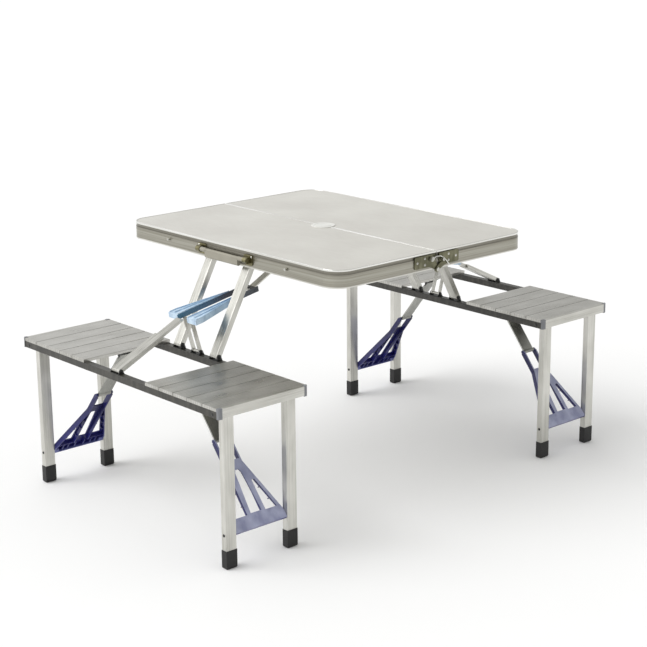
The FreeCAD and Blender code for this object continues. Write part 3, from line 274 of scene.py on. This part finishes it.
def centre_brace_plastic(side, elbow, way, length, slot_half):
    """Light blue moulding, painted darker up to dark slate at its neck as painted shade, with
    painted shade on the walls of its slot.
    """
    made, tree, shader = start(side + "_centre_brace_plastic", IOR=PLASTIC_IOR)
    reach = share_of_way(tree, elbow, way, length)
    flow = grain(tree, 0.02, 0.05, 3.0)
    fine = grain(tree, MOULD_GRAIN, MOULD_GRAIN, 2.0)
    # Painted shade: the colour darkens from the low end up to dark slate at the neck.
    body = add(tree, "ValToRGB", {"Fac": reach}, stops=[
        (0.0, "#3A3F46"), (0.14, "#454C57"), (0.26, "#6F86A6"), (0.42, "#A3C1DC"),
        (0.7, "#BBD6EC"), (1.0, "#CBDFF0")])
    mottle = add(tree, "ValToRGB", {"Fac": flow}, stops=[(0.35, "#D8DEE6"), (0.65, "#FFFFFF")])
    skin = add(tree, "Mix", {0: 1.0, 6: body, 7: mottle}, out=2, data_type="RGBA",
               blend_type="MULTIPLY")
    # Painted shade on the walls of the slot, darkest near the neck.
    slot_painted_shade = add(tree, "ValToRGB", {"Fac": reach}, stops=[
        (0.0, "#14181F"), (0.3, "#16233C"), (0.6, "#2F5C7E"), (1.0, "#4F7F9E")])
    here = add(tree, "TexCoord", out="Object")
    across = add(tree, "SeparateXYZ", {0: here})
    aside = add(tree, "Math", {0: across}, operation="ABSOLUTE")
    inner = add(tree, "Math", {0: aside, 1: slot_half + SLOT_SHADE_REACH}, operation="LESS_THAN")
    add(tree, "Mix", {0: inner, 6: skin, 7: slot_painted_shade}, out=2,
        to=shader.inputs["Base Color"], data_type="RGBA")
    surface(tree, shader, fine, 0.22, 0.34, fine, FAINT_RELIEF, 0.4)
    return made


def moulded_plastic(name, colour, pale, rough):
    """Injection moulded plastic: an even satin colour with faint paler patches."""
    made, tree, shader = start(name, IOR=PLASTIC_IOR)
    fine = grain(tree, MOULD_GRAIN, MOULD_GRAIN, 2.0)
    flow = grain(tree, 0.03, 0.05, 2.0)
    patches = add(tree, "MapRange", {"Value": flow, "From Min": NOISE_LOW,
                                     "From Max": NOISE_HIGH, "To Max": 0.35})
    add(tree, "ValToRGB", {"Fac": patches}, to=shader.inputs["Base Color"],
        stops=[(0.0, colour), (1.0, pale)])
    surface(tree, shader, fine, rough - 0.05, rough + 0.08, fine, FAINT_RELIEF, 0.4)
    return made


def coated_steel(name, dark, light, rough, metallic=0.0):
    """Steel under paint or passivated zinc: a fine grit and worn, paler places."""
    made, tree, shader = start(name, Metallic=metallic)
    fine = grain(tree, GRIT, GRIT, 3.0)
    wear = grain(tree, 0.012, 0.03, 5.0)
    add(tree, "ValToRGB", {"Fac": wear}, to=shader.inputs["Base Color"],
        stops=[(0.4, dark), (0.68, light)])
    surface(tree, shader, fine, rough - 0.06, rough + 0.1, fine, GRIT_DEPTH, 0.5)
    return made


def lean_of(node):
    """Angle about X from upright to the diagonal of a link's box that rises to the seam."""
    low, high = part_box(node)
    rise = high.z - low.z
    run = high.y - low.y
    return math.atan2(-run if low.y < 0 else run, rise)


TOP_LOW, TOP_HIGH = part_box("front_edge_frame")
BOARD = film_faced_board()
RIM = rim_section(TOP_LOW.z, TOP_HIGH.z)
LEG_TUBE = drawn_aluminium("leg_tube_aluminium", DIE_LINE, 0.25, "#B9B8B1", "#D9D8D2")
SLAT = seat_slat()
FASCIA = drawn_aluminium("fascia_aluminium", NARROW_DIE_LINE, 0.2, "#B5B4AD", "#D2D1CB",
                         tilt=QUARTER_TURN)
PLATE = drawn_aluminium("strut_aluminium", DIE_LINE, 0.1, "#8F8F8A", "#B4B4AE",
                        turn=math.radians(45))
BLACK_RAIL = coated_steel("black_rail_paint", "#2B2A26", "#3F3D37", 0.36)
BLACK_STEEL = coated_steel("black_bracket_paint", "#101010", "#222220", 0.36)
OLIVE_ZINC = coated_steel("olive_zinc_plate", "#63624F", "#7F7D68", 0.36, metallic=1.0)
BRASS_ZINC = coated_steel("brassy_zinc_bracket", "#6F6A50", "#8F8A6C", 0.34, metallic=1.0)
BRIGHT_ZINC = coated_steel("bright_zinc_pin", "#A9A8A1", "#CFCEC8", 0.26, metallic=1.0)
WIRE = coated_steel("bright_wire", "#C9C9C4", "#E4E4E0", 0.2, metallic=1.0)
RUBBER = moulded_plastic("black_rubber", "#070707", "#121212", 0.42)
WHITE_ABS = moulded_plastic("white_abs", "#D9D9D4", "#E8E8E4", 0.3)
GRIP = moulded_plastic("grip_plastic", "#8C887B", "#A5A193", 0.42)
CAP = moulded_plastic("corner_cap_plastic", "#75777B", "#8E9093", 0.38)
# The slat tongues are painted near-black: painted shadow down the joints of the slats.
SLAT_JOINT_PAINTED_SHADOW = moulded_plastic("slat_tongue_shadow", "#23231F", "#31312C", 0.6)
# The way that the outer face of the leg braces faces, the side that is painted pale as painted
# light.
OUTWARD = {"right": (0.66, 0, 0.75), "left": (-0.66, 0, 0.75)}


def put(node, material):
    """Gives a CAD sub-part its finish."""
    slots = frame["nodes"][node].data.materials
    slots.clear()
    slots.append(material)


for side in SIDES:
    for part, material in (("top_panel", BOARD), ("edge_frame", RIM),
                           ("umbrella_plug", WHITE_ABS), ("hinge_plates", OLIVE_ZINC),
                           ("rivets", BRIGHT_ZINC), ("table_brackets", BRIGHT_ZINC),
                           ("table_pins", BRIGHT_ZINC), ("bench_rails", BLACK_RAIL),
                           ("seat_slats", SLAT), ("seat_ends", FASCIA),
                           ("seat_corner_caps", CAP), ("bench_brackets", BLACK_STEEL),
                           ("bench_pins", BLACK_STEEL)):
        put(side + "_" + part, material)
    for part in ("swing_tubes", "stay_tube", "stay_fork", "centre_strut"):
        node = side + "_" + part
        put(node, drawn_aluminium(node + "_aluminium", DIE_LINE, 0.25, "#AFAEA7", "#D6D5CF",
                                  tilt=lean_of(node)))
    for end in ENDS:
        put("%s_%s_legs" % (side, end), LEG_TUBE)
        put("%s_%s_feet" % (side, end), RUBBER)
        node = "%s_%s_leg_brace" % (side, end)
        put(node, leg_brace_plastic(node, OUTWARD[end]))
        put("%s_%s_leg_strut" % (side, end), PLATE)
for end in ENDS:
    put(end + "_lock_hook", WIRE)
put("carry_handle", GRIP)
put("handle_brackets", BRASS_ZINC)


# ---- small moulded and pressed pieces ---------------------------------------
# An edge that turns by more than this gets rounded.
SHARP_EDGE = math.radians(40)


def fit_piece(name, body, material, shape, round_by=0.0):
    """A finished piece from a bmesh: edges rounded, riding on a body of the mechanism."""
    bmesh.ops.recalc_face_normals(shape, faces=shape.faces)
    if round_by:
        sharp = [e for e in shape.edges
                 if len(e.link_faces) == 2 and e.calc_face_angle() > SHARP_EDGE]
        bmesh.ops.bevel(shape, geom=sharp, offset=round_by, segments=2, profile=0.6,
                        affect="EDGES", clamp_overlap=True)
    mesh = bpy.data.meshes.new(name)
    shape.to_mesh(mesh)
    shape.free()
    mesh.materials.append(material)
    made = bpy.data.objects.new(name, mesh)
    bpy.context.scene.collection.objects.link(made)
    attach(made, body)


def extrude(shape, outline, place, lift):
    """Adds a solid to the bmesh: the outline's points placed at the foot, and again lifted."""
    rings = []
    for t in (0, 1):
        rings.append([shape.verts.new(place(p) + lift * t) for p in outline])
    shape.faces.new(rings[0])
    shape.faces.new(list(reversed(rings[1])))
    count = len(outline)
    for i in range(count):
        k = (i + 1) % count
        shape.faces.new((rings[0][i], rings[1][i], rings[1][k], rings[0][k]))


def turn_up(shape, foot, axis, profile, steps=20):
    """Adds a turned solid to the bmesh: (height, radius) points about the axis from the foot."""
    up = Vector(axis).normalized()
    side = up.orthogonal().normalized()
    other = up.cross(side)
    rings = []
    for height, radius in profile:
        ring = []
        for i in range(steps):
            a = 2 * math.pi * i / steps
            spoke = side * math.cos(a) + other * math.sin(a)
            ring.append(shape.verts.new(foot + up * height + spoke * radius))
        rings.append(ring)
    for low, high in zip(rings, rings[1:]):
        for i in range(steps):
            k = (i + 1) % steps
            shape.faces.new((low[i], low[k], high[k], high[i]))
    shape.faces.new(list(reversed(rings[0])))
    shape.faces.new(rings[-1])


# ---- seats: tongues down the joints of the slats, painted dark as painted shadow ---
# The slats interlock, so a tongue closes each joint a little below the tread; its near-black
# colour is painted shadow down the joint.
SLAT_COUNT = 5
SLAT_SLIT = 1.4 * MM
TONGUE_CLEAR = 0.1 * MM
TONGUE_SHORT = 1 * MM
TONGUE_DROP = 0.3 * MM
TONGUE_DEEP = 4.0 * MM
TONGUE_SHOULDER = 0.4 * MM
# Across in half widths, and down from the tongue's top.
TONGUE_SECTION = [(-1, TONGUE_DEEP), (1, TONGUE_DEEP), (1, TONGUE_SHOULDER), (0.5, 0),
                  (-0.5, 0), (-1, TONGUE_SHOULDER)]


def seat_reach(side, sign):
    """Distance from the middle of the table to both edges of a bench's seat at +X or -X."""
    mesh = frame["nodes"][side + "_seat_slats"].data
    xs = [round(v.co.x * sign, 5) for v in mesh.vertices if v.co.x * sign > 0]
    return min(xs), max(xs)


def slat_tongues(side):
    """The tongues seen down the joints of both seats of a bench."""
    low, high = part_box(side + "_seat_slats")
    top = high.z - TONGUE_DROP
    half = SLAT_SLIT / 2 - TONGUE_CLEAR
    length = Vector((0, high.y - low.y - 2 * TONGUE_SHORT, 0))
    shape = bmesh.new()
    for sign in (-1, 1):
        inner, outer = seat_reach(side, sign)
        pitch = (outer - inner + SLAT_SLIT) / SLAT_COUNT
        for i in range(1, SLAT_COUNT):
            mid = sign * (inner + i * pitch - SLAT_SLIT / 2)
            outline = [(mid + across * half, top - down) for across, down in TONGUE_SECTION]
            extrude(shape, outline,
                    lambda p: Vector((p[0], low.y + TONGUE_SHORT, p[1])), length)
    fit_piece(side + "_slat_tongues", side + "_bench", SLAT_JOINT_PAINTED_SHADOW, shape)


for side in SIDES:
    slat_tongues(side)


# ---- legs: domed push caps on the hinge rods ----------------------------------
# Height and radius, from the leg's face outwards.
CAP_PROFILE = [(0.0, 3.6 * MM), (0.5 * MM, 3.8 * MM), (1.2 * MM, 3.3 * MM),
               (1.7 * MM, 1.9 * MM), (1.9 * MM, 0.5 * MM)]


def rod_caps(side, end):
    """The caps at both ends of the rod that a pair of legs' brace turns on."""
    low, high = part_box("%s_%s_legs" % (side, end))
    pin = JOINT_AT["%s_%s_brace_fold" % (side, end)]
    shape = bmesh.new()
    for y, way in ((low.y, -1), (high.y, 1)):
        turn_up(shape, Vector((pin.x, y, pin.z)), (0, way, 0), CAP_PROFILE)
    fit_piece("%s_%s_rod_caps" % (side, end), "%s_%s_leg_pair" % (side, end), BLACK_STEEL,
              shape)


for side in SIDES:
    for end in ENDS:
        rod_caps(side, end)


# ---- centre brace: raised edges on both limbs ---------------------------------
LIP_W = 2.4 * MM
LIP_UP = 2.2 * MM
LIP_ROUND = 0.6 * MM
SINK = 0.6 * MM
EDGE_INSET = 0.8 * MM
EDGE_STOP = 3 * MM
OUTER_START = 6 * MM
OUTER_PROUD = 0.4 * MM
MIDDLE_START = 55 * MM
MIDDLE_STOP = 8 * MM
MIDDLE_ASIDE = (13 * MM, 22 * MM)
# How near a point has to be to belong to the low end, the upper face, or a width.
LOW_END_DEPTH = 12 * MM
FACE_DEPTH = 1.2 * MM
SAME_WIDTH = 0.5 * MM


def centre_brace_lines(side):
    """Where the brace lies and the measures of its upper face.

    Gives its elbow, the directions along and up from it, the height of the face
    and its reach, half the slot's width, and the points where the neck ends and
    the full width begins, as (along, aside).
    """
    elbow = JOINT_AT[side + "_centre_brace_fold"]
    points = [v.co.copy() for v in frame["nodes"][side + "_centre_brace"].data.vertices]
    far = max((p - elbow).length for p in points)
    ends = [p for p in points if (p - elbow).length > far - LOW_END_DEPTH]
    low_end = sum(ends, Vector()) / len(ends)
    low_end.x = 0.0
    way = (low_end - elbow).normalized()
    up = Vector((1, 0, 0)).cross(way)
    if up.z < 0:
        up.negate()
    top = max((p - elbow).dot(up) for p in points)
    face = [((p - elbow).dot(way), abs(p.x)) for p in points
            if (p - elbow).dot(up) > top - FACE_DEPTH]
    reach = max(s for s, x in face)
    wide = max(x for s, x in face)
    slot_half = min(x for s, x in face if s > reach / 2)
    neck = max(x for s, x in face if s < 0)
    bend = max(s for s, x in face if abs(x - neck) < SAME_WIDTH)
    shoulder = min(s for s, x in face if x > wide - SAME_WIDTH)
    return elbow, way, up, top, reach, slot_half, (bend, neck), (shoulder, wide)


def centre_brace_detail(side):
    """The brace's finish, and three raised edges on each of its limbs."""
    elbow, way, up, top, reach, slot_half, neck_end, full_start = centre_brace_lines(side)
    plastic = centre_brace_plastic(side, elbow, way, reach, slot_half)
    put(side + "_centre_brace", plastic)
    bend, neck = neck_end
    shoulder, wide = full_start
    by_slot = slot_half + LIP_W + EDGE_INSET
    by_side = wide - EDGE_INSET
    inner = [(bend, by_slot), (reach - EDGE_STOP, by_slot)]
    middle = [(bend + MIDDLE_START, slot_half + MIDDLE_ASIDE[0]),
              (reach - MIDDLE_STOP, slot_half + MIDDLE_ASIDE[1])]
    outer = [(bend + OUTER_START, neck + OUTER_PROUD), (shoulder, by_side),
             (reach - EDGE_STOP, by_side)]
    foot = elbow + up * (top - SINK)
    shape = bmesh.new()
    for sign in (-1, 1):
        for line in (inner, middle, outer):
            outline = line + [(s, x - LIP_W) for s, x in reversed(line)]
            if sign > 0:
                outline.reverse()
            extrude(shape, outline,
                    lambda p: foot + way * p[0] + Vector((sign * p[1], 0, 0)),
                    up * (LIP_UP + SINK))
    fit_piece(side + "_centre_brace_edges", side + "_centre_brace_arm", plastic,
              shape, LIP_ROUND)


for side in SIDES:
    centre_brace_detail(side)


# ---- room, light and camera ------------------------------------------------
def floor():
    """A wide, pale, matt disc under the feet."""
    mesh = bpy.data.meshes.new("floor")
    shape = bmesh.new()
    bmesh.ops.create_circle(shape, cap_ends=True, segments=96, radius=60.0)
    shape.to_mesh(mesh)
    shape.free()
    paint, _, _ = start("pale_floor", Roughness=0.9, Base_Color=linear("#F5F5F5"))
    mesh.materials.append(paint)
    piece = bpy.data.objects.new("floor", mesh)
    piece.location.z = CAD_LOW.z
    bpy.context.scene.collection.objects.link(piece)


def daylight(towards, strength, spread):
    """One broad, even light that comes from far off in that direction."""
    lamp = bpy.data.lights.new("window", "SUN")
    lamp.energy = strength
    lamp.angle = spread
    made = bpy.data.objects.new("window", lamp)
    made.rotation_mode = "QUATERNION"
    made.rotation_quaternion = (-Vector(towards)).to_track_quat("-Z", "Y")
    bpy.context.scene.collection.objects.link(made)


def surroundings(bright_side, low, high):
    """A studio that is brighter towards one side."""
    world = bpy.data.worlds.new("studio")
    world.use_nodes = True
    tree = world.node_tree
    here = add(tree, "TexCoord", out="Generated")
    lean = add(tree, "VectorMath", {0: here, 1: bright_side}, out="Value",
               operation="DOT_PRODUCT")
    side = add(tree, "MapRange", {"Value": lean, "From Min": low, "From Max": high})
    back = tree.nodes["Background"]
    back.inputs["Strength"].default_value = 1.0
    add(tree, "ValToRGB", {"Fac": side}, to=back.inputs["Color"],
        stops=[(0.0, "#CFCFCD"), (1.0, "#FFFFFF")])
    bpy.context.scene.world = world


def camera(azimuth, elevation, roll, distance, target, lens):
    """The camera, looking at the target; azimuth 0 is the -Y side, and 90 is +X."""
    data = bpy.data.cameras.new("camera")
    data.sensor_width = 36.0
    data.lens = lens
    data.clip_end = 200.0
    piece = bpy.data.objects.new("camera", data)
    a, e = math.radians(azimuth), math.radians(elevation)
    back = Vector((math.sin(a) * math.cos(e), -math.cos(a) * math.cos(e), math.sin(e)))
    piece.location = Vector(target) + back * distance
    piece.rotation_mode = "QUATERNION"
    level = (-back).to_track_quat("-Z", "Y")
    tilted = Matrix.Rotation(math.radians(roll), 3, "Z").to_quaternion()
    piece.rotation_quaternion = level @ tilted
    bpy.context.scene.collection.objects.link(piece)
    bpy.context.scene.camera = piece


floor()
surroundings(bright_side=(-0.75, -0.65, 0.0), low=-0.1, high=0.42)
daylight(towards=(-1.6, -3.6, 3.4), strength=1.75, spread=0.9)
camera(azimuth=48.49, elevation=15.34, roll=-0.55, distance=4.0716,
       target=(0.263, -0.235, 0.494), lens=90.5)
bpy.context.scene.view_settings.view_transform = "Standard"
